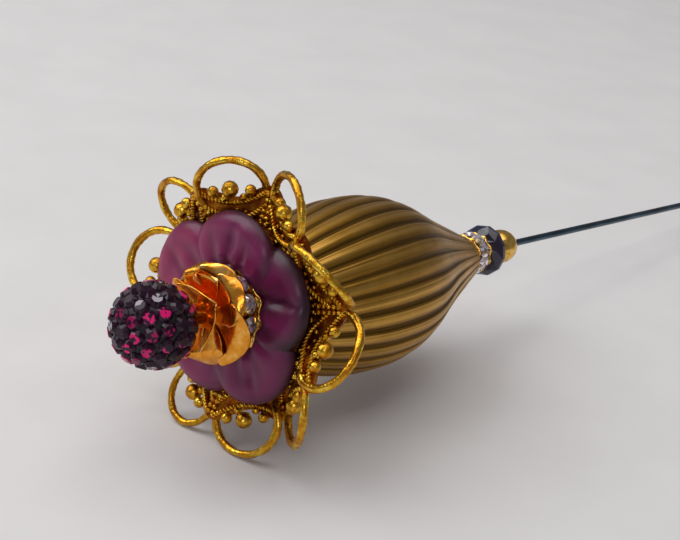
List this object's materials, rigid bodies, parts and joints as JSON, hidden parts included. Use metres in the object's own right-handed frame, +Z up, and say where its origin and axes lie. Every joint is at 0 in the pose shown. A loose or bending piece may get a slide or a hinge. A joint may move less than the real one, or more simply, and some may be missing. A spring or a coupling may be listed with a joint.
{
  "type": "hat pin",
  "caption": "Long sharp steel hat pin with a jewelled head: pave ball, gold rose, crystal ring, purple glass flower, looped filigree cap and a fluted teardrop bead.",
  "frame": {"origin": "middle of the bottom of the bounding box, on the table that the pin lies on, at rest on two loops of its filigree cap and its point", "axes": "+Z up from the table, +X from the jewelled head towards the point, +Y to the left of that"},
  "size_m": [0.2022, 0.036, 0.0346],
  "materials": {
    "blued_steel": "drawn wire, heat-blued grey, smooth",
    "black_resin": "moulded resin, matt black",
    "amethyst_crystal": "cut and foiled, dark amethyst with magenta flashes",
    "rose_gold_plate": "pressed sheet, bright warm gold plate",
    "gold_plate": "cast and plated, bright yellow gold",
    "clear_crystal": "cut and foiled, clear",
    "purple_glass": "moulded pressed glass, satin frosted",
    "filigree_gold": "soldered wire and granules, polished yellow gold plate",
    "antique_brass": "fluted thin sheet, antiqued and brushed",
    "dark_glass": "pressed and fire polished, near-black purple"
  },
  "bodies": {
    "head_and_stem": {"pin_stem": "blued_steel", "pave_core": "black_resin", "pave_crystals": "amethyst_crystal", "rose_collar": "rose_gold_plate", "rose_inner_petals": "rose_gold_plate", "rose_outer_petals": "rose_gold_plate", "front_rondelle_frame": "gold_plate", "front_rondelle_crystals": "clear_crystal", "glass_flower": "purple_glass", "filigree_dish": "filigree_gold", "filigree_loops": "filigree_gold", "filigree_granules": "filigree_gold", "filigree_rope": "filigree_gold", "end_bead": "gold_plate", "crimp_tube": "gold_plate"},
    "ribbed_bead": {"ribbed_bead": "antique_brass"},
    "rear_rondelle": {"rear_rondelle_frame": "gold_plate", "rear_rondelle_crystals": "clear_crystal"},
    "glass_rondelle": {"glass_rondelle": "dark_glass"}
  },
  "joints": [
    {"name": "ribbed_bead_turn", "type": "hinge", "parent": "head_and_stem", "child": "ribbed_bead", "pos_m": [-0.05827, 0, 0.01492], "axis": [0.9957, 0, -0.0929], "continuous": true},
    {"name": "rear_rondelle_turn", "type": "hinge", "parent": "head_and_stem", "child": "rear_rondelle", "pos_m": [-0.0347, 0, 0.01272], "axis": [0.9957, 0, -0.0929], "continuous": true},
    {"name": "glass_rondelle_turn", "type": "hinge", "parent": "head_and_stem", "child": "glass_rondelle", "pos_m": [-0.03124, 0, 0.0124], "axis": [0.9957, 0, -0.0929], "continuous": true}
  ]
}
